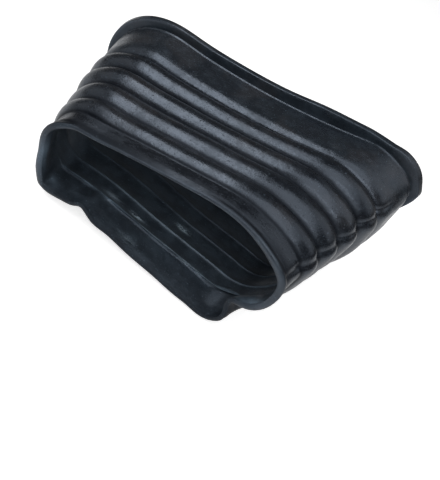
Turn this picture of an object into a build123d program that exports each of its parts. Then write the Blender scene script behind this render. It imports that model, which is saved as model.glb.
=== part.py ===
"""Rubber bellows boot: one moulded, convoluted duct that flares from an oblong mouth to a wide flange.

X runs across the boot, Y along the air path from the small mouth to the flange, Z is up.
The origin is under the middle of the boot, on the surface that it lies on.
"""
from build123d import *
import os
from math import asin, cos, pi, sin

# ---- driving dimensions, mm -------------------------------------------------------------------

wall = 4.0                     # rubber thickness
length = 176.0                 # small mouth to the back of the flange
section_pitch = 170.0          # distance between the two key sections below

# Small mouth, at its front edge, measured outside the collar
mouth_half_width = 124.5
mouth_top_left = 93.5          # height of the top wall where it meets the left corner
mouth_top_right = 122.0        # and where it meets the right corner
mouth_bottom = 15.0            # height of the bottom wall
mouth_left_axis = 55.0         # height of the widest point of the left end
mouth_right_axis = 87.0        # height of the widest point of the right end
mouth_corner_top_left = 33.0   # how far each corner reaches in from the side
mouth_corner_bottom_left = 15.0
mouth_corner_top_right = 80.0
mouth_corner_bottom_right = 60.0
mouth_top_bow = 2.0            # rise of the top wall between its corners
mouth_bottom_bow = 4.0

# Flange end, measured outside the body
flange_half_width = 163.0
flange_top_left = 119.0
flange_top_right = 152.5
flange_bottom = 15.5
flange_left_axis = 64.5
flange_right_axis = 133.5
flange_corner_top_left = 63.0
flange_corner_bottom_left = 59.0
flange_corner_top_right = 45.0
flange_corner_bottom_right = 44.0
flange_top_bow = -8.0          # the wide top wall sags between its corners
flange_bottom_bow = 0.0

# Rolled bead round the small mouth, with the clamp collar behind it
bead_width = 5.0
bead_proud = 3.0               # round the two ends and the bottom
top_bead_proud = 1.2           # along the top wall, where it is least
bead_round = 1.2
collar_length = 23.5
rim_wall = 1.5                 # thickness that the wall thins to at the mouth
rim_taper = 13.0               # length over which it thins
channel_length = 21.0          # the hanging front edge keeps its depth over this length

# Convolutions: each crest is an arc over its own length of the body
crest_lengths = [21.5, 25.5, 25.5, 25.5]
crest_heights = [5.0, 6.0, 7.5, 8.0]
crest_steps = 6                # chords on the outside of a crest
hollow_steps = 5               # chords on the inside of it
bottom_arch = 4.5              # rise of the bottom wall halfway along the convolutions

# Large collar and the flange that closes it
large_collar_proud = 6.5
large_collar_rise = 11.5       # length of the shoulder after the last convolution
edge_line_width = 1.6          # fine raised line where the collar meets the groove
edge_line_proud = 0.9
groove_width = 3.5
groove_depth = 3.2
groove_wall = 2.4              # rubber left under the groove, backed up on the inside
flange_thickness = 6.5
flange_proud = 15.5
flange_round = 1.4
bore_flare = 1.5               # opening out of the bore at the flange face

# The lower right corner of the flange is tucked in
tuck = 9.0
tuck_start = 145.0

# ---- derived values ---------------------------------------------------------------------------

flange_front = length - flange_thickness
groove_front = flange_front - groove_width
convolutions_end = collar_length + sum(crest_lengths)
shoulder_end = convolutions_end + large_collar_rise
overshoot = 2.0                # the bore cutter runs past both faces by this much

# ---- shape of the right end ------------------------------------------------------------------
# The right top corner from its widest point up: share of the corner's quarter turn, then how far the
# body stands out there. A long crease is pressed in a little above the widest point.

right_corner = [
    (0.00, 0.6),
    (0.11, 0.2),
    (0.19, -1.8),
    (0.27, 0.0),
    (0.40, 0.0),
    (0.52, 0.0),
    (0.64, 0.0),
    (0.76, 0.0),
    (0.88, 0.0),
]
crease_run_in = 8.0            # the crease deepens over this length behind the bead
crease_run_out = 30.0          # and dies out over this length behind the convolutions

# ---- shape of the drooping front edge ---------------------------------------------------------
# Each row places one point of the bottom run, from the left side to the right side of a section:
# where the point lies on that run (0 to 1 the left corner, 1 to 2 the bottom wall, 2 to 3 the right
# corner), then how far the front edge is shifted there across and up. The middle of the edge hangs
# down as a shallow channel, which ends in a steep fold beside the pinched right end.

bottom_run = [
    (0.00, 0.0, 0.0),
    (0.15, 0.0, 0.0),
    (0.30, 0.0, 0.0),
    (0.45, 0.5, -1.0),
    (0.60, 1.0, -2.5),
    (0.73, 1.0, -3.0),
    (0.86, 0.5, -3.0),
    (1.00, 0.0, -3.5),
    (1.06, 0.0, -5.0),
    (1.13, 0.0, -3.5),
    (1.19, 0.0, -1.0),
    (1.24, 0.0, 3.5),
    (1.29, 0.0, 0.0),
    (1.34, 0.0, -5.0),
    (1.42, 0.0, -6.0),
    (1.57, 0.0, -9.5),
    (1.77, 0.0, -11.0),
    (1.92, 0.0, -12.0),
    (2.00, 0.0, -11.0),
    (2.17, 0.0, -14.0),
    (2.31, -2.5, -16.0),
    (2.38, 0.0, -8.5),
    (2.47, -8.0, -5.0),
    (2.53, -14.5, 3.0),
    (2.60, -16.0, 3.0),
    (2.67, -13.0, -2.0),
    (2.73, -9.0, -7.0),
    (2.82, -5.0, -10.0),
    (2.91, -1.5, -10.0),
]
corner_chords = 9              # chords on the left top corner
top_wall_points = 6


def blend(near_value, far_value, y):
    """Value at y, in proportion between the two key sections."""
    return near_value + (far_value - near_value) * y / section_pitch


def smooth(t):
    """Even step from 0 to 1 that starts and ends gently."""
    t = min(max(t, 0.0), 1.0)
    return t * t * (3.0 - 2.0 * t)


def droop(y, place, step_back):
    """Share of the front edge's shift that is left at y: all of it at the bead, none behind the collar.

    The hanging channel ends in a steep step; the folded corner beside it fades evenly from the bead.
    """
    channel = smooth((2.25 - place) / 0.3)
    start = bead_width + (channel_length + step_back - bead_width) * channel
    end = collar_length + step_back * channel
    return 1.0 - smooth((y - start) / (end - start))


def crease(y):
    """Share of the right end's crease at y."""
    return smooth((y - bead_width) / crease_run_in) * (1.0 - smooth((y - convolutions_end) / crease_run_out))


def corner(centre, reach, height, turn):
    """Point on an elliptical corner, a turn of 0 being straight out to the side."""
    return (centre[0] + reach * cos(turn), centre[1] + height * sin(turn))


def section_points(y, proud, step_back):
    """Closed outline of the boot at y, standing proud of the body's outside."""
    half = blend(mouth_half_width, flange_half_width, y)
    top_left = blend(mouth_top_left, flange_top_left, y)
    top_right = blend(mouth_top_right, flange_top_right, y)
    along = min(max((y - collar_length) / (convolutions_end - collar_length), 0.0), 1.0)
    bottom = blend(mouth_bottom, flange_bottom, y) + bottom_arch * sin(pi * along)
    left_axis = blend(mouth_left_axis, flange_left_axis, y)
    right_axis = blend(mouth_right_axis, flange_right_axis, y)
    reach_tl = blend(mouth_corner_top_left, flange_corner_top_left, y)
    reach_bl = blend(mouth_corner_bottom_left, flange_corner_bottom_left, y)
    reach_tr = blend(mouth_corner_top_right, flange_corner_top_right, y)
    reach_br = blend(mouth_corner_bottom_right, flange_corner_bottom_right, y)
    top_bow = blend(mouth_top_bow, flange_top_bow, y)
    bottom_bow = blend(mouth_bottom_bow, flange_bottom_bow, y)

    points = []
    for share, out in right_corner:
        centre = (half - reach_tr, right_axis)
        turn = 0.5 * pi * share
        stand = proud + out * crease(y)
        points.append(corner(centre, reach_tr + stand, top_right - right_axis + stand, turn))
    top_proud = min(proud, top_bead_proud) if y < bead_width else proud
    for i in range(top_wall_points):
        u = (i + 0.5) / top_wall_points
        x = half - reach_tr + (reach_tr + reach_tl - 2.0 * half) * u
        z = top_right + (top_left - top_right) * u + top_bow * 4.0 * u * (1.0 - u)
        points.append((x, z + top_proud))
    for i in range(1, corner_chords):
        centre = (-half + reach_tl, left_axis)
        turn = 0.5 * pi * (1.0 + i / corner_chords)
        points.append(corner(centre, reach_tl + proud, top_left - left_axis + proud, turn))
    for place, across, up in bottom_run:
        if place < 1.0:
            centre = (-half + reach_bl, left_axis)
            x, z = corner(centre, reach_bl + proud, left_axis - bottom + proud, pi + 0.5 * pi * place)
        elif place < 2.0:
            u = place - 1.0
            x = -half + reach_bl + (2.0 * half - reach_bl - reach_br) * u
            z = bottom + bottom_bow * 4.0 * u * (1.0 - u) - proud
        else:
            turn = 0.5 * pi * (place + 1.0)
            tucked = tuck * sin(-2.0 * turn) * smooth((y - tuck_start) / (flange_front - tuck_start))
            centre = (half - reach_br - tucked, right_axis)
            x, z = corner(centre, reach_br + proud, right_axis - bottom + proud, turn)
        share = droop(y, place, step_back)
        points.append((x + across * share, z + up * share))
    return points


def crest_radius(crest_length, height):
    """Radius of the arc that rises by height over one crest."""
    return (0.25 * crest_length**2 + height**2) / (2.0 * height)


def crest_rows(start, crest_length, height, offset, steps):
    """Rows along one crest's arc, moved outwards by offset, from one valley to the next."""
    radius = crest_radius(crest_length, height)
    spread = asin(0.5 * crest_length / radius)
    rows = []
    for i in range(steps + 1):
        turn = spread * (2.0 * i / steps - 1.0)
        y = start + 0.5 * crest_length + (radius + offset) * sin(turn)
        rows.append((y, (radius + offset) * cos(turn) - radius + height))
    return rows


def outside_rows():
    """Rows of the outer surface: place along the boot, and how far it stands proud."""
    rows = [
        (0.0, bead_proud - bead_round),
        (bead_round, bead_proud),
        (bead_width - bead_round, bead_proud),
        (bead_width, 0.0),
        (0.5 * (bead_width + collar_length), 0.0),
    ]
    start = collar_length
    for crest_length, height in zip(crest_lengths, crest_heights):
        rows += crest_rows(start, crest_length, height, 0.0, crest_steps)[:-1]
        start += crest_length
    rows += [
        (convolutions_end, 0.0),
        (convolutions_end + 0.4 * large_collar_rise, 0.65 * large_collar_proud),
        (shoulder_end, large_collar_proud),
        (0.5 * (shoulder_end + groove_front), large_collar_proud),
        (groove_front - edge_line_width, large_collar_proud),
        (groove_front - 0.5 * edge_line_width, large_collar_proud + edge_line_proud),
        (groove_front, large_collar_proud),
        (groove_front + 0.3 * groove_width, large_collar_proud - groove_depth),
        (flange_front, large_collar_proud - groove_depth),
        (flange_front, flange_proud - flange_round),
        (flange_front + flange_round, flange_proud),
        (length - flange_round, flange_proud),
        (length, flange_proud - flange_round),
    ]
    return rows


def rim_at(y):
    """Place of the bore's surface over the thinned rim."""
    return -wall + (wall - rim_wall) * (1.0 - smooth(y / rim_taper))


def inside_rows():
    """Rows of the bore, which follows the outside one wall thickness in."""
    rows = [
        (-overshoot, -rim_wall),
        (0.0, -rim_wall),
        (bead_width, rim_at(bead_width)),
        (rim_taper, -wall),
        (channel_length, -wall),
        (0.5 * (channel_length + collar_length), -wall),
    ]
    start = collar_length
    for crest_length, height in zip(crest_lengths, crest_heights):
        rows.append((start, -wall))
        rows += crest_rows(start, crest_length, height, -wall, hollow_steps)[1:-1]
        start += crest_length
    rows += [
        (convolutions_end, -wall),
        (convolutions_end + 0.5 * large_collar_rise, 0.6 * large_collar_proud - wall),
        (shoulder_end, large_collar_proud - wall),
        (tuck_start, large_collar_proud - wall),
        (0.5 * (tuck_start + groove_front), large_collar_proud - wall),
        (groove_front, large_collar_proud - groove_depth - groove_wall),
        (flange_front, large_collar_proud - groove_depth - groove_wall),
        (length - bore_flare, large_collar_proud - wall),
        (length, large_collar_proud - wall + bore_flare),
        (length + overshoot, large_collar_proud - wall + bore_flare),
    ]
    return rows


def sections(rows, step_back):
    """One closed outline of short chords for each row, as faces across the boot."""
    faces = []
    for y, proud in rows:
        with BuildSketch(Plane.XZ.offset(0.5 * length - y)) as outline:
            with BuildLine():
                Polyline(*section_points(y, proud, step_back), close=True)
            make_face()
        faces.append(outline.sketch.face())
    return faces


with BuildPart() as bore:
    loft(sections(inside_rows(), 0.0), ruled=True)

with BuildPart() as bellows_boot:
    loft(sections(outside_rows(), wall), ruled=True)
    add(bore.part, mode=Mode.SUBTRACT)

bellows_boot.part.label = "bellows_boot"
os.makedirs("parts", exist_ok=True)
export_step(bellows_boot.part, "parts/bellows_boot.step")
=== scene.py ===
"""Rubber bellows boot: one moulded duct with four convolutions, a rolled bead and a lipped flange.

The moulding's own functions work in millimetres. Meshes, lamps and the camera are in metres.
X runs across the boot, Y along it from the small mouth to the flange, and Z is up.
"""

import bpy
import numpy as np
from mathutils import Matrix, Vector


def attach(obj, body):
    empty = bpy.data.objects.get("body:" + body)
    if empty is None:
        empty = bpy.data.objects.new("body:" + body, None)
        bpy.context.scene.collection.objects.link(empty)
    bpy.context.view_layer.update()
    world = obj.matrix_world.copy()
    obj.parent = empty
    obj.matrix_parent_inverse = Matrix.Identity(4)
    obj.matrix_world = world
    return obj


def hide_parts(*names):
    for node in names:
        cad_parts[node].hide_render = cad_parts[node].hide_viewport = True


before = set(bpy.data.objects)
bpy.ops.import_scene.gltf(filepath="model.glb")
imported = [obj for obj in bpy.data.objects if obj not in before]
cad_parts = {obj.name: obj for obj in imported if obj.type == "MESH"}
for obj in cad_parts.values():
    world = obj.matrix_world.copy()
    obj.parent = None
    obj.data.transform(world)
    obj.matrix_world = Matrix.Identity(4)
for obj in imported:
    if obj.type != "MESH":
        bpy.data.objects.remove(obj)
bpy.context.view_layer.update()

bl_info = {
    "name": "Rubber Bellows Boot",
    "version": (1, 0, 0),
    "blender": (4, 5, 0),
    "location": "3D View > Sidebar > Boot",
    "description": "Builds a moulded rubber bellows boot with its studio",
    "category": "Add Mesh",
}

MM = 0.001

# ---- form of the moulding, mm ----
# Sizes of a section, each at the small mouth and at the flange, in the order that key_points takes
# them in, and the way between the two.

SECTION = {
    "half_width": (124.5, 163.0),
    "top_left": (93.5, 119.0),
    "top_right": (122.0, 152.5),
    "bottom": (15.0, 15.5),
    "left_axis": (55.0, 64.5),
    "right_axis": (87.0, 133.5),
    "corner_top_left": (33.0, 63.0),
    "corner_bottom_left": (15.0, 59.0),
    "corner_top_right": (80.0, 45.0),
    "corner_bottom_right": (60.0, 44.0),
    "top_bow": (2.0, -8.0),
    "bottom_bow": (4.0, 0.0),
}
SECTION_PITCH = 170.0
CORNER_POINTS = 9
TOP_WALL_POINTS = 6

# One row for each point of the bottom run: its place (0 to 1 the left corner, 1 to 2 the bottom
# wall, 2 to 3 the right corner), then the front edge's shift there, across and up.
BOTTOM_RUN = np.array([
    (0.00, 0.0, 0.0),
    (0.15, 0.0, 0.0),
    (0.30, 0.0, 0.0),
    (0.45, 0.5, -1.0),
    (0.60, 1.0, -2.5),
    (0.73, 1.0, -3.0),
    (0.86, 0.5, -3.0),
    (1.00, 0.0, -3.5),
    (1.06, 0.0, -5.0),
    (1.13, 0.0, -3.5),
    (1.19, 0.0, -1.0),
    (1.24, 0.0, 3.5),
    (1.29, 0.0, 0.0),
    (1.34, 0.0, -5.0),
    (1.42, 0.0, -6.0),
    (1.57, 0.0, -9.5),
    (1.77, 0.0, -11.0),
    (1.92, 0.0, -12.0),
    (2.00, 0.0, -11.0),
    (2.17, 0.0, -14.0),
    (2.31, -2.5, -16.0),
    (2.38, 0.0, -8.5),
    (2.47, -8.0, -8.0),
    (2.53, -14.5, -1.5),
    (2.60, -16.0, -1.0),
    (2.67, -13.0, -4.0),
    (2.73, -9.0, -7.0),
    (2.82, -5.0, -10.0),
    (2.91, -1.5, -10.0),
])

CREST_LENGTHS = (21.5, 25.5, 25.5, 25.5)
CREST_HEIGHTS = (5.0, 6.0, 7.5, 8.0)
HOLLOW_SHARE = 0.72     # how much of a crest's height its hollow has on the inside
RIM_WALL = 1.5          # thickness that the wall thins to at the mouth
ROLL_LENGTH = 10.0      # the outside rounds over towards the rim along this length
SHOULDER_LENGTH = 11.5  # of the rise from the last valley to the large collar
EDGE_LINE_RISE = 1.1    # fine raised line where the large collar meets the groove
EDGE_LINE_WIDTH = 0.6
GROOVE_WIDTH = 3.5
GROOVE_DEPTH = 3.2
GROOVE_BACKING = 1.4    # swelling of the inside behind the groove
FLANGE_THICKNESS = 6.5
BORE_FLARE = 1.5
TUCK = 9.0              # the flange's lower right corner is tucked in by this
TUCK_START = 145.0
FILLET = 0.32           # spread of the rounding of the wall's outline

DROOP_HOLD = 21.0           # the hanging channel keeps its whole depth over this length
CHANNEL_EDGE = (1.95, 0.3)  # where in the bottom run the channel starts to end, and how far on
CHANNEL_RISE = 0.43         # how far the channel's floor has risen at the step, as a share of it
STEP_UNDERCUT = 0.6         # undercut of the step behind it, as a share of its depth
BOTTOM_SET_BACK = 5.0       # the valleys lie this much further back at the left of the bottom
BOTTOM_RIGHT_BACK = 0.6     # and this much at the right of it
BOTTOM_SKEW = 0.07          # less this share of their way from the mouth's collar
BOTTOM_TURN = (4.15, 0.5)   # place at which left starts to turn to right, and how far on
BOTTOM_FADE = (12.0, 25.0)  # all that fades from so far before the last valley, over so much
TOP_SET_BACK = 4.5          # the rim lies this much further back along the top wall
BOTTOM_FORWARD = 3.0        # and this much further forward along the bottom
SET_BACK_LENGTH = 15.0      # fading behind the rim over this

BEAD_GROOVE_DEPTH = 0.8  # fine groove behind the bead
BEAD_GROOVE_WIDTH = 1.1
LINE_RISE = 0.9          # raised line along each valley of the inside
LINE_WIDTH = 0.9
LINE_APART = 1.7         # the first line has a second one before it, this many widths away
FILL_SHARE = 0.38        # of a crest's height, filled along the bottom and the left end
CREASE_DEPTH = 1.3       # crease along the right end
PINCH_DEPTH = 1.2        # what is added to it at each valley
PINCH_SPREAD = 3.0
BULGE_RISE = 0.9         # soft bulge under the crease
FOLD_ENDS = (8.0, 30.0)  # both grow and fade over these
WAVE_ENDS = 12.0         # and the slow waves over this

# Bell curves round a section: a height, where it isn't 1, a place as key_places gives it, and a spread.
CREASE = (0.19, 0.05)
BULGE = (0.03, 0.09)
MOUTH_ENDS = ((1.0, 0.15, 0.75), (0.6, 2.85, 0.75), (1.0, 3.70, 0.40))
LEFT_FLARE = ((3.2, 2.9, 0.55),)
FLANGE_TRIM = (
    (4.8, 5.83, 0.13),
    (2.5, 0.22, 0.20),
    (4.0, 0.92, 0.14),
    (-2.2, 1.29, 0.14),
    (2.6, 2.05, 0.38),
)

# Stretches: a start, the length they grow over, an end and the length they fade over. Those named
# ROUND are in places round a section, those named ALONG in mm along the boot.
TOP_ROUND = (0.35, 0.5, 2.1, 0.5)
BOTTOM_ROUND = (3.2, 0.5, 5.2, 0.3)
RIM_BOTTOM_ROUND = (3.1, 0.4, 5.35, 0.2)
LINES_ROUND = (3.75, 0.4, 5.5, 0.4)
FILLED_ROUND = (2.5, 0.5, 5.3, 0.4)
FLARE_ALONG = (0.75, 4.0, 7.0, 14.0)
MOUTH_ALONG = (-1.0, 1.0, 6.0, 14.0)

# Swellings of the wall: the bell curve of each round a section, and its stretch along the boot.
SWELLINGS = (
    ((6.0, 5.80, 0.24), (90.0, 30.0, 158.0, 9.0)),     # the body's lower right corner
    ((1.4, 2.75, 0.25), (60.0, 20.0, 158.0, 9.0)),     # and its upper left one
    ((2.8, 2.70, 0.32), MOUTH_ALONG),                  # the left end of the mouth, above
    ((-1.4, 3.55, 0.30), MOUTH_ALONG),                 # and below
    ((2.6, 5.73, 0.20), MOUTH_ALONG),                  # the mouth's lower right corner
    ((4.0, 5.48, 0.11), (1.5, 5.0, 16.0, 14.0)),       # the right side of the hanging channel
)

# Slow waves of the wall: height, waves round a section, turn per mm along the boot, and start.
WAVES = ((0.25, 3.0, 0.045, 0.0), (0.175, 7.0, -0.06, 1.3), (0.125, 13.0, 0.09, 0.4))

ROWS = 226            # round the wall's own outline, outside and inside together
EVEN_ROWS = 0.3       # weight of rows laid evenly, beside those crowded where it turns
FORM_ROWS = 1.1       # and of those crowded at the channel's step and the raised lines
CORNER_SPACING = 1.8  # columns along the corners and folds of a section
WALL_SPACING = 3.4    # and along its long walls
LONG_CHORD = 16.0     # a wall is longer than this between its key points
LEAST_COLUMNS = 4     # between two key points
OUTLINE_STEP = 0.12   # spacing at which the wall's outline is first worked out
TURNING_STEPS = 19    # of it, over which its turning is averaged
STEP_SPREAD = 2.2     # of the rows crowded at the step
LINE_SPREAD = 1.6     # and at each raised line

# ---- dust, painted highlights and dullness of the skin ----
# Dust is given in shares of its whole colour, and so are the painted highlights that are laid on in the dust
# colour.

MOUTH_DUST = 0.075            # all over the inside, at the mouth
DEEP_DUST = 0.06              # what is added to it over the first part of the way in
DEEP_LENGTH = 50.0
RIGHT_DUST_LESS = 0.3         # how much less of it there is to the right
RIGHT_DUST_TURN = (4.9, 0.3)  # place at which that starts, and how far on it is whole
RIM_DUST_LESS = 0.6           # and how much less on the face of the rim
RIM_FACE_END = (1.0, 1.5)     # y at which that face starts to end, and how far on
# Painted highlights along the inside's raised lines, one for each valley from the mouth: a share of the dust
# colour and a spread, weaker deeper in.
LINE_HIGHLIGHTS = ((0.572, 2.0), (0.418, 1.3), (0.176, 1.2), (0.088, 1.2), (0.066, 1.2))
# Painted highlight in the dust colour on the face of the left lip, where its flared inner face catches the
# light.
LIP_FACE_HIGHLIGHT = 0.35          # on the left lip's face
LIP_FACE_END = (3.5, 1.5)     # y at which it starts to end, and how far on
COLLAR_DUST = 0.04            # over the large collar and all behind it
GROOVE_DUST = 0.05            # and more of it in the groove
CREST_AMOUNT = 0.7            # how much of the cloudy film there is on a crest
INSIDE_AMOUNT = 1.1           # on the inside
LEAST_AMOUNT = 0.3            # and everywhere
FILM_CLOUDS = 0.6             # how much the clouds break up the inside's film
FILM_GRAIN = 1.4              # and the grain
WARM_DUST = 0.045             # of warm dust on the crests where the film is warm
LIP_WARM_DUST = 0.06          # and behind the left lip
LIP_WARM_ALONG = (3.5, 1.5, 9.0, 8.0)
SPECK_DUST = 0.5
LEFT_END = (3.25, 0.28)       # bell curve of the left lip round the section
RIM_UPPER_LEFT = ((0.6, 2.6, 0.2),)

# Patches: their strength, then their place and its spread, then y and its spread. The last two entries of the
# scuffs run along the two raised lines nearest the mouth and are painted highlights there, not scuffs.
# Painted highlights on the inside at the lip's two lower corners, in the dust colour.
LIP_HIGHLIGHT_PATCHES = (
    (0.35, (4.00, 0.06), (7.0, 2.4)),
    (0.60, (5.78, 0.10), (5.0, 3.0)),
)
DULL_PATCHES = ((0.55, (2.08, 0.14), (29.0, 7.0)),)
SCUFFS_AND_LINE_HIGHLIGHTS = (
    (1.8, (4.455, 0.035), (31.3, 2.0)),
    (1.6, (4.64, 0.035), (60.0, 2.4)),
    (0.55, (4.29, 0.05), (31.5, 2.8)),
    (1.2, (4.87, 0.08), (22.5, 1.6)),
    (0.22, (4.53, 0.05), (7.6, 1.0)),
    (0.8, (4.80, 0.28), (22.7, 1.5)),
    (0.4, (4.60, 0.32), (45.0, 1.0)),
)

VALLEY_DULL = 0.8             # dullness of each valley
VALLEY_DULL_SPREAD = 1.5
MOUTH_DULL = 0.45             # of the mouth's collar near the rim
MOUTH_DULL_END = (9.0, 6.0)   # y at which it starts to end, and how far on
LEFT_DULL = 0.35              # what is added to it along its left
LEFT_ROUND = (1.3, 0.4, 5.4, 0.6)
GROOVE_DULL = 0.5             # of the groove and the foot of the flange
FLANGE_DULL = 0.5             # of the flange's right end, whose bell curve comes next
FLANGE_END = (0.35, 0.35)
RIM_DULL = 0.6                # of the face of the rim
MOST_DULL = 0.95

SHINE = 0.82        # specular level of the skin where it isn't dull
PLAIN_SHINE = 0.6   # and the one level that stands for it where it can't change
SHINE_TINT = (0.70, 0.82, 1.0, 1.0)
GRAIN_ROUGH = 0.3   # roughness that the grain adds at most
MOTTLE_ROUGH = 0.2  # that the mottling adds
LEVEL_ROUGH = 0.23  # what both add on average, taken off again
DULL_ROUGH = 0.2    # and what is added where the skin is dull, and on the inside

# ---- studio ----

FLOOR_REACH = 6.0     # of the floor from its middle, in metres
FLOOR_GLOW = 0.70     # how much brighter than it is lit the camera sees the floor
MIRRORED_SHARE = 0.4  # and the share of that which mirrors and glass see


def grow(t, start, length):
    """0 up to the start, then up to 1 over the length with gentle ends: 3u squared less 2u cubed."""
    u = np.clip((t - start) / length, 0.0, 1.0)
    return u * u * (3.0 - 2.0 * u)


def fade(t, start, length):
    """1 up to the start, then down to 0 over the length with gentle ends."""
    return 1.0 - grow(t, start, length)


def stretch(t, start, growth, end, fading):
    """1 along a stretch that grows from its start over one length and fades from its end over another."""
    return grow(t, start, growth) * fade(t, end, fading)


def hump(t, centre, spread):
    """Bell curve of height 1 about its centre."""
    return np.exp(-(((t - centre) / spread) ** 2))


def ring_hump(place, centre, spread):
    """Bell curve of height 1 round the section, its distances taken the shorter way round."""
    return hump((place - centre + 3.0) % 6.0, 3.0, spread)


def ring_humps(place, rows):
    """Sum of bell curves round the section, each row with a height, a place and a spread."""
    return sum(height * ring_hump(place, centre, spread) for height, centre, spread in rows)


def patches(y, place, rows):
    """Sum of soft patches, each the product of its strength and two bell curves, round and along."""
    return sum(strength * hump(place, *around) * hump(y, *along) for strength, around, along in rows)


def outer_side(y, proud, boot):
    """1 on the outside of the wall and 0 on the inside, parted at the wall's middle."""
    middle = body_height(y, boot, 0.5 + 0.5 * HOLLOW_SHARE) - 0.5 * boot.wall
    return np.where(proud > middle, 1.0, 0.0)


def corner_arc(across, up, reach, rise, turn, proud):
    """Ellipse about a point, (across, up), at some turns, standing proud of its own reach and rise."""
    return across + (reach + proud) * np.cos(turn), up + (rise + proud) * np.sin(turn)


def key_points(y, proud, boot):
    """Key points of the sections at y, standing proud of the body, as rows x points x (across, up).

    The right top corner, the top wall, the left top corner and the bottom run follow one another.
    Corners are quarter ellipses, walls are straight with a parabolic bow, and the bottom run is
    shifted at the front edge by its table. The shift fades over the clamp collar, but along the
    hanging channel it holds and then ends in a step, and the channel's floor rises towards that.
    """
    sizes = (mouth + (flange - mouth) * y / SECTION_PITCH for mouth, flange in SECTION.values())
    half, top_left, top_right, bottom, left_axis, right_axis, *reaches, top_bow, bottom_bow = sizes
    reach_tl, reach_bl, reach_tr, reach_br = reaches

    turn = 0.5 * np.pi * np.arange(CORNER_POINTS)[None, :] / CORNER_POINTS
    right = corner_arc(half - reach_tr, right_axis, reach_tr, top_right - right_axis, turn, proud)
    u = (np.arange(TOP_WALL_POINTS)[None, :] + 0.5) / TOP_WALL_POINTS
    wall = (half - reach_tr + (reach_tr + reach_tl - 2.0 * half) * u,
            top_right + (top_left - top_right) * u + top_bow * 4.0 * u * (1.0 - u) + proud)
    turn = 0.5 * np.pi + turn[:, 1:]
    left = corner_arc(reach_tl - half, left_axis, reach_tl, top_left - left_axis, turn, proud)

    place, across, up = BOTTOM_RUN.T[:, None, :]
    turn = 0.5 * np.pi * (place + 2.0)
    low_left = corner_arc(reach_bl - half, left_axis, reach_bl, left_axis - bottom, turn, proud)
    u = place - 1.0
    floor = (reach_bl - half + (2.0 * half - reach_bl - reach_br) * u,
             bottom + bottom_bow * 4.0 * u * (1.0 - u) - proud)
    turn = 0.5 * np.pi * (place + 1.0)
    tucked = TUCK * np.sin(-2.0 * turn) * grow(y, TUCK_START, boot.flange_front - TUCK_START)
    low_right = corner_arc(half - reach_br - tucked, right_axis, reach_br, right_axis - bottom, turn, proud)

    channel = fade(place, *CHANNEL_EDGE)
    outer = outer_side(y, proud, boot)
    step_back = boot.wall * outer * channel
    hold = boot.bead_width + (DROOP_HOLD - boot.bead_width) * channel + step_back
    risen = CHANNEL_RISE * channel * np.clip(y / DROOP_HOLD, 0.0, 1.0)
    droop = fade(y, hold, boot.collar_length + step_back - hold) * (1.0 - (1.0 - outer) * risen)
    run = np.where(place < 1.0, low_left, np.where(place < 2.0, floor, low_right))
    run = run + droop * np.stack([across, up])
    return np.concatenate([right, wall, left, run], axis=2).transpose(1, 2, 0)


def key_places():
    """Place of each key point round the section: 0 to 1 the right top corner, 1 to 2 the top wall,
    2 to 3 the left top corner, 3 to 4 the left bottom corner, 4 to 5 the bottom wall and 5 to 6 the
    right bottom corner."""
    corner = np.arange(CORNER_POINTS) / CORNER_POINTS
    wall = 1.0 + (np.arange(TOP_WALL_POINTS) + 0.5) / TOP_WALL_POINTS
    return np.concatenate([corner, wall, 2.0 + corner[1:], 3.0 + BOTTOM_RUN[:, 0]])


def closed_splines(points, interval, share):
    """Closed cubic splines through rows of points, one spline a row, by chord length.

    The second derivatives m solve the usual ring of equations, h m + 2 (h + k) n + k o = 6 times
    the change of slope, and each sample lies at its share of its interval. Returns the samples and
    their outward normals.
    """
    after = np.roll(points, -1, axis=1)
    step = np.linalg.norm(after - points, axis=2)
    before = np.roll(step, 1, axis=1)
    slope = (after - points) / step[:, :, None]
    count = points.shape[1]
    unit = np.eye(count)
    ring = unit * (2.0 * (before + step))[:, :, None]
    ring += np.roll(unit, 1, axis=1) * step[:, :, None]
    ring += np.roll(unit, -1, axis=1) * before[:, :, None]
    bend = np.linalg.solve(ring, 6.0 * (slope - np.roll(slope, 1, axis=1)))

    f = share[None, :, None]
    h = step[:, interval, None]
    here, there = points[:, interval], after[:, interval]
    bend_here, bend_there = bend[:, interval], np.roll(bend, -1, axis=1)[:, interval]
    cubic = bend_here * ((1.0 - f) ** 3 - (1.0 - f)) + bend_there * (f**3 - f)
    samples = (1.0 - f) * here + f * there + h * h / 6.0 * cubic
    rate = bend_here * (1.0 - 3.0 * (1.0 - f) ** 2) + bend_there * (3.0 * f * f - 1.0)
    tangent = (there - here) / h + h / 6.0 * rate
    tangent /= np.linalg.norm(tangent, axis=2, keepdims=True)
    return samples, np.stack([tangent[:, :, 1], -tangent[:, :, 0]], axis=2)


def convolutions(y, start, share):
    """Height of the convolutions at y: over each crest an arc of that crest's own length and height."""
    height = np.zeros_like(y)
    for length, rise in zip(CREST_LENGTHS, CREST_HEIGHTS):
        rise = rise * share
        radius = (0.25 * length**2 + rise**2) / (2.0 * rise)
        across = np.abs(y - start - 0.5 * length)
        arc = np.sqrt(np.clip(radius**2 - across**2, 0.0, None)) - radius + rise
        height = np.where(across <= 0.5 * length, arc, height)
        start += length
    return height


def collar_rise(y, boot):
    """Shoulder up to the large collar, a quarter of an ellipse, level after it."""
    t = np.clip((y - boot.convolutions_end) / SHOULDER_LENGTH, 0.0, 1.0)
    return boot.large_collar_proud * np.sqrt(1.0 - (1.0 - t) ** 2)


def body_height(y, boot, share):
    """Height of the body at y: the convolutions, at a share of their height, then the large collar."""
    return convolutions(y, boot.collar_length, share) + collar_rise(y, boot)


def rolled_over(y):
    """1 at the rim, down to 0 where the outside stops rounding over: the square of the way left."""
    return np.clip(1.0 - (y - 0.5 * RIM_WALL) / ROLL_LENGTH, 0.0, 1.0) ** 2


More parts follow.
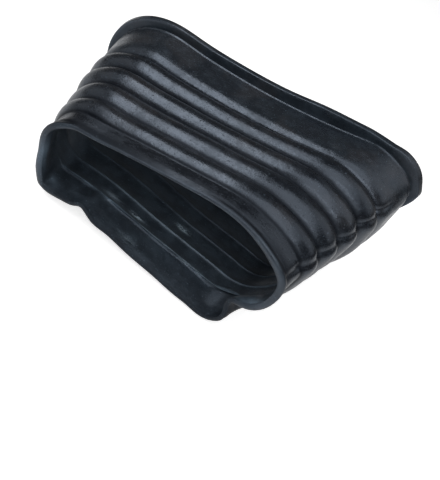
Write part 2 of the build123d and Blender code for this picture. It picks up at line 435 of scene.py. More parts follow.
def ring_mean(values, weights):
    """Weighted mean of each value of a ring with its neighbours on both sides."""
    reach = len(weights) // 2
    ringed = np.concatenate([values[-reach:], values, values[:reach]])
    return np.convolve(ringed, weights / weights.sum(), mode="valid")


def closed_run(points):
    """Length run along a closed line at each of its points, and back at the first."""
    steps = np.linalg.norm(np.diff(points, axis=0, append=points[:1]), axis=1)
    return np.append(0.0, np.cumsum(steps))


def sampled(outline, run, at):
    """Points of a line read off at some lengths, from the length run at each point of it."""
    return np.stack([np.interp(at, run, values) for values in outline.T], axis=1)


def wall_outline(boot):
    """Closed outline of the rubber wall as (y, proud), outside and back along the inside.

    The straight and arched parts are laid end to end, resampled at an even step, rounded by a
    weighted mean over a few steps, and sampled again with the rows closer where the outline turns,
    at the channel's step and at the inside's raised lines.
    """
    outside_y = np.arange(0.5 * RIM_WALL, boot.groove_front, OUTLINE_STEP)
    outside = body_height(outside_y, boot, 1.0) - (boot.wall - RIM_WALL) * rolled_over(outside_y)
    outside += EDGE_LINE_RISE * hump(outside_y, boot.groove_front - EDGE_LINE_WIDTH, EDGE_LINE_WIDTH)
    groove = boot.large_collar_proud - GROOVE_DEPTH
    lip = [
        (boot.groove_front + 0.2 * GROOVE_WIDTH, groove),
        (boot.flange_front, groove),
        (boot.flange_front, boot.flange_proud),
        (boot.length, boot.flange_proud),
        (boot.length, boot.large_collar_proud - boot.wall + BORE_FLARE),
        (boot.length - 2.0 * BORE_FLARE, boot.large_collar_proud - boot.wall),
    ]
    inside_y = np.arange(boot.length - 3.0 * BORE_FLARE, 0.5 * RIM_WALL, -OUTLINE_STEP)
    inside = body_height(inside_y, boot, HOLLOW_SHARE) - boot.wall
    inside -= GROOVE_BACKING * hump(inside_y, boot.flange_front - 0.5 * GROOVE_WIDTH, 2.0 * GROOVE_WIDTH)
    turn = np.linspace(-0.5 * np.pi, 0.5 * np.pi, 40)
    rim = [0.5 * RIM_WALL * (1.0 - np.cos(turn)), 0.5 * RIM_WALL * (1.0 + np.sin(turn)) - boot.wall]
    outline = np.concatenate([
        np.stack([outside_y, outside], axis=1),
        np.array(lip),
        np.stack([inside_y, inside], axis=1),
        np.stack(rim, axis=1),
    ])

    run = closed_run(outline)
    outline = np.concatenate([outline, outline[:1]])
    outline = sampled(outline, run, np.arange(0.0, run[-1], OUTLINE_STEP))
    reach = int(4.0 * FILLET / OUTLINE_STEP)
    weights = hump(np.arange(-reach, reach + 1) * OUTLINE_STEP, 0.0, FILLET * np.sqrt(2.0))
    outline = np.stack([ring_mean(values, weights) for values in outline.T], axis=1)

    ahead = np.roll(outline, -1, axis=0) - outline
    angle = np.unwrap(np.arctan2(ahead[:, 1], ahead[:, 0]))
    turning = ring_mean(np.abs(np.gradient(angle)), np.ones(TURNING_STEPS)) / OUTLINE_STEP
    outer = outer_side(outline[:, 0], outline[:, 1], boot)
    forms = hump(outline[:, 0], 0.5 * (DROOP_HOLD + boot.collar_length) + boot.wall * outer, STEP_SPREAD)
    forms += (1.0 - outer) * sum(hump(outline[:, 0], valley, LINE_SPREAD) for valley in boot.valleys)
    crowd = np.cumsum(EVEN_ROWS + np.sqrt(turning) + FORM_ROWS * forms)
    return sampled(outline, crowd, np.linspace(crowd[0], crowd[-1], ROWS, endpoint=False))


def column_samples(boot):
    """Interval and share of each column: every interval between key points gets evenly spaced columns."""
    middle = key_points(np.array([[0.5 * boot.length]]), np.array([[0.0]]), boot)[0]
    chords = np.linalg.norm(np.roll(middle, -1, axis=0) - middle, axis=1)
    spacing = np.where(chords > LONG_CHORD, WALL_SPACING, CORNER_SPACING)
    counts = np.maximum(LEAST_COLUMNS, np.round(chords / spacing)).astype(int)
    interval = np.repeat(np.arange(len(counts)), counts)
    first = np.repeat(np.cumsum(counts) - counts, counts)
    share = (np.arange(counts.sum()) - first) / counts[interval]
    places = key_places()
    following = np.append(places[1:], 6.0)
    return interval, share, places[interval] + share * (following - places)[interval]


def boot_surface(boot):
    """Grid of the whole moulding, rows round the wall's outline and columns round the section.

    Each row is the closed spline through its section's key points. The hand-made unevenness is then
    laid on as a shift along the section's outward normal. Returns the points in metres, with y and
    the height proud of the body for each row and the place round the section for each column.
    """
    outline = wall_outline(boot)
    interval, share, place = column_samples(boot)
    y, proud, place = outline[:, :1], outline[:, 1:], place[None, :]
    samples, outward = closed_splines(key_points(y, proud, boot), interval, share)
    shift = unevenness(y, place, boot) + end_bead(y, proud, place, boot) + side_fold(y, place, boot)
    shift = shift + sum(ring_humps(place, [bell]) * stretch(y, *along) for bell, along in SWELLINGS)
    shift = shift - flange_trim(y, proud, place, boot) - left_flare(y, proud, place, boot)
    shift = shift - inner_filling(y, proud, place, boot)
    samples = samples + outward * shift[:, :, None]
    along = y + bottom_shift(y, proud, place, boot) + rim_set_back(y, place)
    points = np.stack([samples[:, :, 0], along - 0.5 * boot.length, samples[:, :, 1]], axis=2)
    return points * MM, y, proud, place


def end_bead(y, proud, place, boot):
    """Extra height of the bead round the two ends of the mouth: level at the rim, with a fine groove
    behind it. All but the top wall also gets back what rounding over takes from the outside."""
    ends = np.clip(ring_humps(place, MOUTH_ENDS), 0.0, 1.0)
    level = fade(y, 0.7 * boot.bead_width, 0.5 * boot.bead_width)
    groove = hump(y, 1.3 * boot.bead_width, BEAD_GROOVE_WIDTH)
    bead = ends * (boot.bead_proud * level - BEAD_GROOVE_DEPTH * groove)
    given_back = 1.0 - stretch(place, *TOP_ROUND) * (1.0 - ends)
    bead = bead + given_back * (boot.wall - RIM_WALL) * rolled_over(y)
    return grow(proud, -boot.wall, RIM_WALL) * bead


def rim_set_back(y, place):
    """How far the rim lies back along the top wall and forward along the bottom, fading behind it."""
    back = TOP_SET_BACK * stretch(place, *TOP_ROUND) - BOTTOM_FORWARD * stretch(place, *RIM_BOTTOM_ROUND)
    return back * fade(y, 0.0, SET_BACK_LENGTH)


def left_flare(y, proud, place, boot):
    """Thickening of the wall's inner face: a bell curve round the left end, in a stretch behind the
    rim."""
    return ring_humps(place, LEFT_FLARE) * stretch(y, *FLARE_ALONG) * (1.0 - outer_side(y, proud, boot))


def flange_trim(y, proud, place, boot):
    """How far the flange's edge draws in: bell curves round the section, whole at the edge and fading
    to nothing at the bottom of the groove."""
    groove = boot.large_collar_proud - GROOVE_DEPTH
    share = grow(proud, groove, boot.flange_proud - groove) * (y > boot.groove_front)
    return ring_humps(place, FLANGE_TRIM) * share


def inner_filling(y, proud, place, boot):
    """Raised lines and filled hollows of the inside, along the bottom and round the left end.

    Each valley has a fine line, a bell curve along y, and the first has a second one before it that
    makes it twice as wide. Between the lines a share of each crest's height is filled.
    """
    starts = np.append(boot.valleys, boot.valleys[0] - LINE_APART * LINE_WIDTH)
    lines = LINE_RISE * sum(hump(y, start, LINE_WIDTH) for start in starts)
    filling = FILL_SHARE * convolutions(y, boot.collar_length, 1.0)
    filled = lines * stretch(place, *LINES_ROUND) + filling * stretch(place, *FILLED_ROUND)
    return filled * (1.0 - outer_side(y, proud, boot))


def side_fold(y, place, boot):
    """Long shallow crease above the widest point of the right end, deeper at each valley, with a
    soft bulge under it: two bell curves round the section, along the convolutions."""
    pinch = sum(hump(y, valley, PINCH_SPREAD) for valley in boot.valleys)
    crease = ring_hump(place, *CREASE) * (CREASE_DEPTH + PINCH_DEPTH * pinch)
    length = stretch(y, boot.bead_width, FOLD_ENDS[0], boot.convolutions_end, FOLD_ENDS[1])
    return length * (BULGE_RISE * ring_hump(place, *BULGE) - crease)


def bottom_shift(y, proud, place, boot):
    """Shift along the boot at the bottom: the valleys lie further back at the left of it, and the
    foot of the step that ends the hanging channel is undercut by the channel's depth there."""
    grown = grow(y, 0.0, DROOP_HOLD)
    drawn_forward = BOTTOM_SET_BACK - BOTTOM_RIGHT_BACK + BOTTOM_SKEW * (y - boot.collar_length)
    back = BOTTOM_SET_BACK - grow(place, *BOTTOM_TURN) * drawn_forward
    back = back * grown * fade(y, boot.convolutions_end - BOTTOM_FADE[0], BOTTOM_FADE[1])
    depth = np.clip(-np.interp(place, 3.0 + BOTTOM_RUN[:, 0], BOTTOM_RUN[:, 2]), 0.0, None)
    foot = DROOP_HOLD + boot.wall * outer_side(y, proud, boot)
    undercut = STEP_UNDERCUT * depth * grown**4 * fade(y, foot, boot.collar_length - DROOP_HOLD)
    return stretch(place, *BOTTOM_ROUND) * (back + undercut)


def unevenness(y, place, boot):
    """Slow waves of the soft wall, a few tenths of a millimetre, still at the two clamp collars: sine
    waves round the section that turn as y grows."""
    turn = 2.0 * np.pi * place / 6.0
    waves = sum(height * np.sin(count * turn + drift * y + start) for height, count, drift, start in WAVES)
    return waves * stretch(y, boot.collar_length, WAVE_ENDS, boot.convolutions_end, WAVE_ENDS)


# ---- values for the skin, a number for each point ----

def inside_share(y, proud, boot):
    """1 on the inside and 0 on the outside, changing gently in the middle half of the wall."""
    return fade(proud, body_height(y, boot, 1.0) - 0.75 * boot.wall, 0.5 * boot.wall)


def rim_face(y, place):
    """1 on the face of the rim along the bottom and a part of that at its upper left."""
    return fade(y, *RIM_FACE_END) * (stretch(place, *LINES_ROUND) + ring_humps(place, RIM_UPPER_LEFT))


def dust_share(y, proud, place, boot):
    """Share of dust and of painted highlights at each point, besides the clouds of dust.

    The inside has a film of dust that thickens away from the mouth and thins to the right. Painted highlights
    are added to it along its raised lines, on the left lip's face and in patches behind the lip, and both are
    less on the face of the rim. Outside, the large collar has a film and its groove a thicker one.
    """
    outer = outer_side(y, proud, boot)
    film_and_highlights = (MOUTH_DUST + DEEP_DUST * grow(y, 0.0, DEEP_LENGTH)) * inside_share(y, proud, boot)
    film_and_highlights = film_and_highlights * (1.0 - RIGHT_DUST_LESS * grow(place, *RIGHT_DUST_TURN))
    # Painted highlights along the raised lines, in the lip patches and, below, on the left lip's face.
    lines = sum(share * hump(y, valley, spread) for (share, spread), valley in zip(LINE_HIGHLIGHTS, boot.valleys))
    film_and_highlights = film_and_highlights + (1.0 - outer) * (lines * stretch(place, *LINES_ROUND) + patches(y, place, LIP_HIGHLIGHT_PATCHES))
    film_and_highlights = film_and_highlights + LIP_FACE_HIGHLIGHT * fade(y, *LIP_FACE_END) * ring_hump(place, *LEFT_END)
    film_and_highlights = film_and_highlights * (1.0 - RIM_DUST_LESS * rim_face(y, place))
    in_groove = (y > boot.groove_front - 0.5) * (y < boot.flange_front + 2.0)
    return film_and_highlights + outer * (COLLAR_DUST * grow(y, boot.convolutions_end, 8.0) + GROOVE_DUST * in_groove)


def dullness(y, proud, place, boot):
    """How dull the skin is, from 0 to 1, the sum of what these places have on the outside.

    They are each valley, the mouth's collar near the rim and more so at its left, the dull patches,
    the groove and the flange's foot, and the flange's right end. The face of the rim is dull too.
    """
    dull = VALLEY_DULL * sum(hump(y, valley + 0.5, VALLEY_DULL_SPREAD) for valley in boot.valleys[:-1])
    dull = dull + (MOUTH_DULL + LEFT_DULL * stretch(place, *LEFT_ROUND)) * fade(y, *MOUTH_DULL_END)
    dull = dull + patches(y, place, DULL_PATCHES)
    dull = dull + GROOVE_DULL * (y > boot.groove_front) * fade(proud, boot.flange_proud - 3.0, 2.0)
    dull = dull + FLANGE_DULL * (y > boot.flange_front) * hump(place, *FLANGE_END)
    return np.minimum(outer_side(y, proud, boot) * dull + RIM_DULL * rim_face(y, place), MOST_DULL)


# ---- shared mesh and object helpers ----

def ring_mesh(name, points):
    """Mesh of a grid that closes on itself both ways, with smooth faces and a UV map in metres.

    U is the length round the first row and V the length down the first column.
    """
    rows, columns = points.shape[:2]
    index = np.arange(rows * columns).reshape(rows, columns)
    below, beside = np.roll(index, -1, axis=0), np.roll(index, -1, axis=1)
    corners = np.stack([index, below, np.roll(below, -1, axis=1), beside], axis=2).reshape(-1)
    mesh = bpy.data.meshes.new(name)
    mesh.vertices.add(rows * columns)
    mesh.vertices.foreach_set("co", points.reshape(-1).astype(np.float32))
    mesh.loops.add(len(corners))
    mesh.loops.foreach_set("vertex_index", corners.astype(np.int32))
    mesh.polygons.add(rows * columns)
    mesh.polygons.foreach_set("loop_start", np.arange(0, len(corners), 4, dtype=np.int32))
    mesh.update(calc_edges=True)
    mesh.shade_smooth()

    u, v = closed_run(points[0]), closed_run(points[:, 0])
    corner_u = np.stack([u[:-1], u[:-1], u[1:], u[1:]], axis=1)[None, :, :]
    corner_v = np.stack([v[:-1], v[1:], v[1:], v[:-1]], axis=1)[:, None, :]
    grid = (rows, columns, 4)
    uv = np.stack([np.broadcast_to(corner_u, grid), np.broadcast_to(corner_v, grid)], axis=3)
    layer = mesh.uv_layers.new(name="along_wall")
    layer.data.foreach_set("uv", uv.reshape(-1).astype(np.float32))
    return mesh


def point_values(mesh, name, values, grid):
    """A number for each point of a grid, kept on the mesh for its material."""
    layer = mesh.attributes.new(name, "FLOAT", "POINT")
    layer.data.foreach_set("value", np.broadcast_to(values, grid).reshape(-1).astype(np.float32))


def place_object(data, name):
    """An object at the origin that shows a mesh, lamp or camera."""
    placed = bpy.data.objects.new(name, data)
    bpy.context.scene.collection.objects.link(placed)
    return placed


# ---- material building ----

class NodeSheet:
    """Short words for adding nodes to one node tree and joining them."""

    def __init__(self, tree):
        self.tree = tree

    def fill(self, sockets, sources):
        """Links each source to the socket of its name, or sets the socket to it if it is a value."""
        for name, source in sources.items():
            if isinstance(source, bpy.types.NodeSocket):
                self.tree.links.new(source, sockets[name])
            else:
                sockets[name].default_value = source

    def node(self, kind, sources=None, **settings):
        """Adds a node. Plain names set its properties before its sockets are filled."""
        made = self.tree.nodes.new(kind)
        for name, value in settings.items():
            setattr(made, name, value)
        self.fill(made.inputs, sources or {})
        return made

    def maths(self, operation, *numbers, clamp=False):
        """One step of arithmetic."""
        sources = dict(enumerate(numbers))
        return self.node("ShaderNodeMath", sources, operation=operation, use_clamp=clamp).outputs[0]

    def plus(self, first, second):
        """Sum of two numbers."""
        return self.maths("ADD", first, second)

    def times(self, first, second, clamp=False):
        """Product of two numbers."""
        return self.maths("MULTIPLY", first, second, clamp=clamp)

    def noise(self, vector, scale, detail, roughness):
        """Cloudy noise from 0 to 1."""
        sources = {"Vector": vector, "Scale": scale, "Detail": detail, "Roughness": roughness}
        return self.node("ShaderNodeTexNoise", sources).outputs["Fac"]

    def between(self, value, low, high):
        """0 below low, 1 above high, with gentle ends."""
        sources = {"Value": value, "From Min": low, "From Max": high}
        return self.node("ShaderNodeMapRange", sources, interpolation_type="SMOOTHSTEP").outputs["Result"]

    def mix(self, share, first, second):
        """Colour between two others."""
        sources = {"Factor": share, "A": first, "B": second}
        return self.node("ShaderNodeMix", sources, data_type="RGBA").outputs["Result"]


def new_material(name):
    """A material, with the sheet of its nodes and the inputs of its shader."""
    material = bpy.data.materials.new(name)
    material.use_nodes = True
    tree = material.node_tree
    return material, NodeSheet(tree), tree.nodes["Principled BSDF"].inputs


def opaque(colour):
    """A colour with full alpha."""
    return tuple(colour) + (1.0,)


def new_group(name, inputs, outputs):
    """A shader node group that reads a Vector and the named numbers, each with its default, and gives
    the named numbers out. Returns it with its sheet, what it reads, and the sockets to be filled."""
    group = bpy.data.node_groups.new(name, "ShaderNodeTree")
    group.interface.new_socket("Vector", in_out="INPUT", socket_type="NodeSocketVector")
    for title, value in inputs.items():
        socket = group.interface.new_socket(title, in_out="INPUT", socket_type="NodeSocketFloat")
        socket.default_value = value
    for title in outputs:
        group.interface.new_socket(title, in_out="OUTPUT", socket_type="NodeSocketFloat")
    sheet = NodeSheet(group)
    vector, *numbers = list(sheet.node("NodeGroupInput").outputs)[:-1]
    return group, sheet, vector, numbers, sheet.node("NodeGroupOutput").inputs


def dust_group():
    """Pale dust: a thin film in clouds, with sparse specks, and where the film is warmer."""
    group, sheet, vector, (cloud_scale, speck_scale, amount), made = new_group(
        "Dust film", {"Cloud Scale": 55.0, "Speck Scale": 700.0, "Amount": 0.5},
        ("Film", "Specks", "Warmth"))
    clouds = sheet.between(sheet.noise(vector, cloud_scale, 6.0, 0.65), 0.38, 0.72)
    fine = sheet.between(sheet.noise(vector, speck_scale, 2.0, 0.5), 0.67, 0.73)
    wide = sheet.noise(vector, sheet.times(cloud_scale, 0.4), 3.0, 0.6)
    sheet.fill(made, {
        "Film": sheet.times(clouds, amount, clamp=True),
        "Specks": sheet.times(fine, amount, clamp=True),
        "Warmth": sheet.between(wide, 0.48, 0.62),
    })
    return group


def skin_group():
    """Moulded rubber's skin: the height of its ripples, streaks, grain and pits, the grain alone, a
    mottling, and where scuffs rub off on it. Streaks and mottling are drawn out along its width."""
    group, sheet, vector, (grain_scale, ripple_scale, streak_scale, grain_share), made = new_group(
        "Rubber skin",
        {"Grain Scale": 1100.0, "Ripple Scale": 110.0, "Streak Scale": 420.0, "Grain Share": 0.3},
        ("Height", "Grain", "Mottle", "Rubbed"))
    mapping = sheet.node("ShaderNodeMapping", {"Vector": vector, "Scale": (0.16, 1.0, 1.0)})
    drawn_out = mapping.outputs["Vector"]
    grain = sheet.noise(vector, grain_scale, 2.0, 0.6)
    ripple = sheet.noise(vector, ripple_scale, 4.0, 0.55)
    streak = sheet.noise(drawn_out, streak_scale, 3.0, 0.6)
    pits = sheet.between(sheet.noise(vector, sheet.times(grain_scale, 0.45), 1.0, 0.5), 0.68, 0.76)
    height = sheet.plus(ripple, sheet.times(grain, grain_share))
    height = sheet.plus(height, sheet.times(streak, 0.35))
    mottle = sheet.times(sheet.noise(drawn_out, ripple_scale, 5.0, 0.7), 0.6)
    rubbed = sheet.plus(sheet.times(streak, 0.5), sheet.times(grain, 0.5))
    sheet.fill(made, {
        "Height": sheet.maths("SUBTRACT", height, sheet.times(pits, 0.5)),
        "Grain": grain,
        "Mottle": sheet.between(sheet.plus(mottle, sheet.times(ripple, 0.4)), 0.36, 0.66),
        "Rubbed": sheet.between(rubbed, 0.46, 0.55),
    })
    return group


def moulded_rubber(settings):
    """Satin black rubber under a thin bluish film of dust, warmer in places, with painted highlights in the
    dust colour along the inside's raised lines and at the lip's lower corners, and greyed by a painted
    highlight on the left lip's face.

    The mesh's own values say where: crest, inside, film_and_highlights (dust and painted highlights), lip,
    scuff_and_highlight (scuffs and painted highlights) and dull.
    """
    material, sheet, shader = new_material("moulded_rubber")
    where = sheet.node("ShaderNodeTexCoord").outputs["Object"]
    crest, inside, film_and_highlights, lip, scuff_and_highlight, dull = (
        sheet.node("ShaderNodeAttribute", attribute_name=name).outputs["Fac"]
        for name in ("crest", "inside", "film_and_highlights", "lip", "scuff_and_highlight", "dull"))
    amount = sheet.plus(sheet.times(crest, CREST_AMOUNT), sheet.times(inside, INSIDE_AMOUNT))
    sources = {"Vector": where, "Amount": sheet.plus(amount, LEAST_AMOUNT)}
    dust = sheet.node("ShaderNodeGroup", sources, node_tree=dust_group())
    skin = sheet.node("ShaderNodeGroup", {"Vector": where}, node_tree=skin_group())
    grain = skin.outputs["Grain"]

    uneven = sheet.plus(sheet.times(dust.outputs["Film"], FILM_CLOUDS), sheet.times(grain, FILM_GRAIN))
    film_and_highlights = sheet.plus(sheet.times(dust.outputs["Film"], settings.dust_share), sheet.times(film_and_highlights, uneven))
    warm = sheet.times(sheet.times(dust.outputs["Warmth"], crest), sheet.maths("SUBTRACT", 1.0, inside))
    colour = opaque(settings.rubber_colour)
    # The film share lays on dust and painted highlights; the scuff share lays on pale scuffs and painted
    # highlights along two raised lines.
    for share, over in (
        (film_and_highlights, settings.dust_and_highlight_colour),
        (sheet.times(warm, WARM_DUST), settings.warm_colour),
        (sheet.times(dust.outputs["Specks"], SPECK_DUST), settings.dust_and_highlight_colour),
        (sheet.times(lip, LIP_WARM_DUST), settings.warm_colour),
        (sheet.times(skin.outputs["Rubbed"], scuff_and_highlight), settings.scuff_and_highlight_colour),
    ):
        colour = sheet.mix(share, colour, opaque(over))

    sources = {"Strength": 0.5, "Distance": 0.0006, "Height": skin.outputs["Height"]}
    bump = sheet.node("ShaderNodeBump", sources)
    rough = sheet.maths("MULTIPLY_ADD", grain, GRAIN_ROUGH, settings.roughness - LEVEL_ROUGH)
    rough = sheet.plus(rough, sheet.times(skin.outputs["Mottle"], MOTTLE_ROUGH))
    shader["Specular IOR Level"].default_value = PLAIN_SHINE
    sheet.fill(shader, {
        "Base Color": colour,
        "Normal": bump.outputs["Normal"],
        "Roughness": sheet.plus(rough, sheet.times(sheet.plus(inside, dull), DULL_ROUGH)),
        "Specular IOR Level": sheet.maths("MULTIPLY_ADD", dull, -SHINE, SHINE),
        "Specular Tint": SHINE_TINT,
    })
    return material


# ---- settings ----

class BootSettings(bpy.types.PropertyGroup):
    """Sizes and colours of the moulding."""

    length: bpy.props.FloatProperty(
        name="Length", description="Small mouth to the back of the flange",
        default=0.176, min=0.15, unit="LENGTH")
    wall: bpy.props.FloatProperty(
        name="Wall", description="Thickness of the rubber",
        default=0.004, min=0.001, unit="LENGTH")
    bead_width: bpy.props.FloatProperty(
        name="Bead width", description="Width of the bead round the small mouth",
        default=0.005, min=0.001, unit="LENGTH")
    bead_proud: bpy.props.FloatProperty(
        name="Bead height", description="How far the bead stands off the clamp collar",
        default=0.003, min=0.0, unit="LENGTH")
    collar_length: bpy.props.FloatProperty(
        name="Collar length", description="Small mouth to the first convolution",
        default=0.0235, min=0.01, unit="LENGTH")
    large_collar_proud: bpy.props.FloatProperty(
        name="Large collar height", description="How far the large collar stands off the body",
        default=0.0065, min=0.0, unit="LENGTH")
    flange_proud: bpy.props.FloatProperty(
        name="Flange height", description="How far the flange stands off the body",
        default=0.0155, min=0.0, unit="LENGTH")
    rubber_colour: bpy.props.FloatVectorProperty(
        name="Rubber", description="Colour of the clean rubber",
        default=(0.0050, 0.0060, 0.0085), min=0.0, max=1.0, subtype="COLOR")
    # Also the colour of the painted highlights on the inside.
    dust_and_highlight_colour: bpy.props.FloatVectorProperty(
        name="Dust", description="Colour of the dust on it",
        default=(0.15, 0.21, 0.27), min=0.0, max=1.0, subtype="COLOR")
    warm_colour: bpy.props.FloatVectorProperty(
        name="Warm dust", description="Colour of the browner dust on the crests and the left lip",
        default=(0.30, 0.26, 0.25), min=0.0, max=1.0, subtype="COLOR")
    # Also the colour of the painted highlights along the two raised lines nearest the mouth.
    scuff_and_highlight_colour: bpy.props.FloatVectorProperty(
        name="Scuffs", description="Colour of the pale scuffs on the inside",
        default=(0.38, 0.48, 0.56), min=0.0, max=1.0, subtype="COLOR")
    dust_share: bpy.props.FloatProperty(
        name="Dust share", description="How much the dust covers at most",
        default=0.035, min=0.0, max=1.0, subtype="FACTOR")
    roughness: bpy.props.FloatProperty(
        name="Roughness", description="Roughness of the rubber's skin",
        default=0.25, min=0.0, max=1.0, subtype="FACTOR")


class StudioSettings(bpy.types.PropertyGroup):
    """Camera, lamps and floor."""

    azimuth: bpy.props.FloatProperty(
        name="Azimuth", description="Turn of the camera round the boot",
        default=np.radians(7.5), subtype="ANGLE")
    elevation: bpy.props.FloatProperty(
        name="Elevation", description="Height of the camera above the horizon",
        default=np.radians(43.3), subtype="ANGLE")
    roll: bpy.props.FloatProperty(
        name="Roll", description="Turn of the camera about its own line of sight",
        default=np.radians(32.1), subtype="ANGLE")
    distance: bpy.props.FloatProperty(
        name="Distance", description="Camera to the point that it aims at",
        default=0.675, min=0.1, unit="LENGTH")
    aim: bpy.props.FloatVectorProperty(
        name="Aim", description="Point in the middle of the camera's view",
        default=(0.0492, -0.008, 0.0177), subtype="TRANSLATION")
    lens: bpy.props.FloatProperty(
        name="Lens", description="Focal length of the camera, in mm",
        default=50.625, min=10.0)
    floor_colour: bpy.props.FloatVectorProperty(
        name="Floor", description="Colour of the floor",
        default=(0.85, 0.85, 0.85), min=0.0, max=1.0, subtype="COLOR")
    world_strength: bpy.props.FloatProperty(
        name="Room light", description="Strength of the light from all round",
        default=0.09, min=0.0)


class BootSizes:
    """The moulding's sizes in millimetres, with the places that follow from them."""

    def __init__(self, settings):
        for name in ("length", "wall", "bead_width", "bead_proud", "collar_length",
                     "large_collar_proud", "flange_proud"):
            setattr(self, name, getattr(settings, name) / MM)
        self.flange_front = self.length - FLANGE_THICKNESS
        self.groove_front = self.flange_front - GROOVE_WIDTH
        self.convolutions_end = self.collar_length + sum(CREST_LENGTHS)
        self.valleys = self.collar_length + np.concatenate([[0.0], np.cumsum(CREST_LENGTHS)])


# ---- operators ----

class BOOT_OT_moulding(bpy.types.Operator):
    """Build the rubber moulding in place of its plain solid"""

    bl_idname = "boot.moulding"
    bl_label = "Rubber moulding"

    def execute(self, context):
        settings = context.scene.boot
        boot = BootSizes(settings)
        points, y, proud, place = boot_surface(boot)
        mesh = ring_mesh("rubber_boot", points)
        inner = 1.0 - outer_side(y, proud, boot)
        # film_and_highlights and scuff_and_highlight carry painted highlights besides dust and scuffs.
        values = {
            "crest": body_height(y, boot, 1.0) / max(CREST_HEIGHTS),
            "inside": inside_share(y, proud, boot),
            "film_and_highlights": dust_share(y, proud, place, boot),
            "lip": inner * stretch(y, *LIP_WARM_ALONG) * ring_hump(place, *LEFT_END),
            "scuff_and_highlight": inner * patches(y, place, SCUFFS_AND_LINE_HIGHLIGHTS),
            "dull": dullness(y, proud, place, boot),
        }
        for name, numbers in values.items():
            point_values(mesh, name, numbers, points.shape[:2])
        piece = place_object(mesh, "rubber_boot")
        mesh.materials.append(moulded_rubber(settings))
        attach(piece, "root")
        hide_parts("bellows_boot")
        return {"FINISHED"}


def softbox(name, toward, distance, width, height, radiance, target=(0.0, 0.0, 0.06)):
    """Area lamp at a distance along a direction from its target, facing it, of the given radiance."""
    light = bpy.data.lights.new(name, "AREA")
    light.shape = "RECTANGLE"
    light.size = width
    light.size_y = height
    light.energy = radiance * np.pi * width * height
    lamp = place_object(light, name)
    direction = Vector(toward).normalized()
    lamp.location = Vector(target) + direction * distance
    lamp.rotation_mode = "QUATERNION"
    lamp.rotation_quaternion = direction.to_track_quat("Z", "Y")
    lamp.visible_camera = False


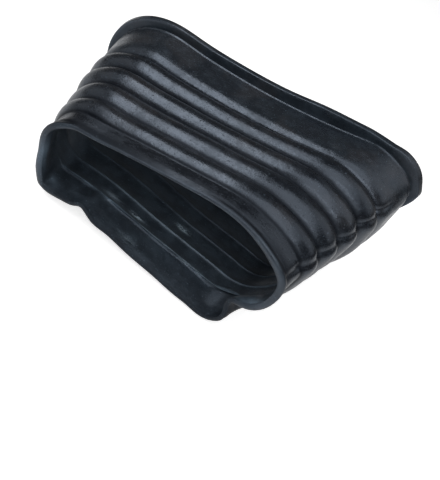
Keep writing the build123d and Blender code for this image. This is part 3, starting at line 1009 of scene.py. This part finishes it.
class BOOT_OT_studio(bpy.types.Operator):
    """Set the camera, the lamps, the world and the floor"""

    bl_idname = "boot.studio"
    bl_label = "Studio"

    def execute(self, context):
        studio = context.scene.boot_studio
        context.scene.camera = self.add_camera(studio)
        self.add_floor(studio)
        self.light_room(context, studio)
        context.scene.view_settings.view_transform = "Standard"
        return {"FINISHED"}

    def add_camera(self, studio):
        """Camera on its line of sight, tipped down to it, turned to its side and rolled about it."""
        camera = place_object(bpy.data.cameras.new("camera"), "camera")
        camera.data.lens = studio.lens
        camera.data.clip_start = 0.01
        turn = Matrix.Rotation(studio.azimuth, 3, "Z")
        turn = turn @ Matrix.Rotation(0.5 * np.pi - studio.elevation, 3, "X")
        turn = turn @ Matrix.Rotation(studio.roll, 3, "Z")
        place = Vector(studio.aim) + turn @ Vector((0.0, 0.0, studio.distance))
        camera.matrix_world = Matrix.LocRotScale(place, turn, None)
        return camera

    def add_floor(self, studio):
        """Wide flat sheet that looks white and keeps the boot's shadow."""
        mesh = bpy.data.meshes.new("floor")
        corners = [(-1.0, -1.0), (1.0, -1.0), (1.0, 1.0), (-1.0, 1.0)]
        mesh.from_pydata([(FLOOR_REACH * x, FLOOR_REACH * y, 0.0) for x, y in corners], [], [(0, 1, 2, 3)])
        floor = place_object(mesh, "floor")
        material, sheet, shader = new_material("pale_floor")
        rays = sheet.node("ShaderNodeLightPath").outputs
        mirrored = sheet.times(sheet.plus(rays["Is Glossy Ray"], rays["Is Transmission Ray"]), MIRRORED_SHARE)
        sheet.fill(shader, {
            "Base Color": opaque(studio.floor_colour),
            "Roughness": 0.9,
            "Specular IOR Level": 0.1,
            "Emission Color": (1.0, 1.0, 1.0, 1.0),
            "Emission Strength": sheet.times(sheet.plus(mirrored, rays["Is Camera Ray"]), FLOOR_GLOW),
        })
        mesh.materials.append(material)

    def light_room(self, context, studio):
        """World, pale to the camera, and the softboxes."""
        world = bpy.data.worlds.new("room")
        context.scene.world = world
        world.use_nodes = True
        sheet = NodeSheet(world.node_tree)
        seen = sheet.node("ShaderNodeLightPath").outputs["Is Camera Ray"]
        strength = sheet.maths("MULTIPLY_ADD", seen, 1.0 - studio.world_strength, studio.world_strength)
        background = world.node_tree.nodes["Background"].inputs
        sheet.fill(background, {"Color": (1.0, 1.0, 1.0, 1.0), "Strength": strength})
        softbox("front strip", (0.36, -0.78, 0.62), 1.0, 0.7, 0.36, 2.8)
        softbox("left key", (-0.50, 0.0, 0.87), 1.1, 1.1, 0.35, 3.9, target=(0.03, -0.16, 0.06))
        softbox("top fill", (0.20, -0.32, 0.93), 1.0, 0.9, 0.8, 1.4)
        softbox("left fill", (-0.90, -0.20, 0.45), 1.4, 1.2, 0.9, 0.4)
        softbox("right fill", (0.64, 0.30, 0.66), 1.4, 1.1, 1.1, 0.6)


class BOOT_PT_panel(bpy.types.Panel):
    """Boot's sizes, colours and operators in the sidebar"""

    bl_idname = "BOOT_PT_panel"
    bl_label = "Rubber bellows boot"
    bl_space_type = "VIEW_3D"
    bl_region_type = "UI"
    bl_category = "Boot"

    def draw(self, context):
        for settings in (context.scene.boot, context.scene.boot_studio):
            for name in settings.bl_rna.properties.keys():
                if name not in ("rna_type", "name"):
                    self.layout.prop(settings, name)
        for operator in OPERATORS:
            self.layout.operator(operator.bl_idname)


OPERATORS = (BOOT_OT_moulding, BOOT_OT_studio)
CLASSES = (BootSettings, StudioSettings) + OPERATORS + (BOOT_PT_panel,)


def register():
    for made in CLASSES:
        bpy.utils.register_class(made)
    bpy.types.Scene.boot = bpy.props.PointerProperty(type=BootSettings)
    bpy.types.Scene.boot_studio = bpy.props.PointerProperty(type=StudioSettings)


def unregister():
    del bpy.types.Scene.boot_studio
    del bpy.types.Scene.boot
    for made in reversed(CLASSES):
        bpy.utils.unregister_class(made)


def main():
    """Builds everything in order."""
    register()
    bpy.ops.boot.moulding()
    bpy.ops.boot.studio()


if __name__ == "__main__":
    main()
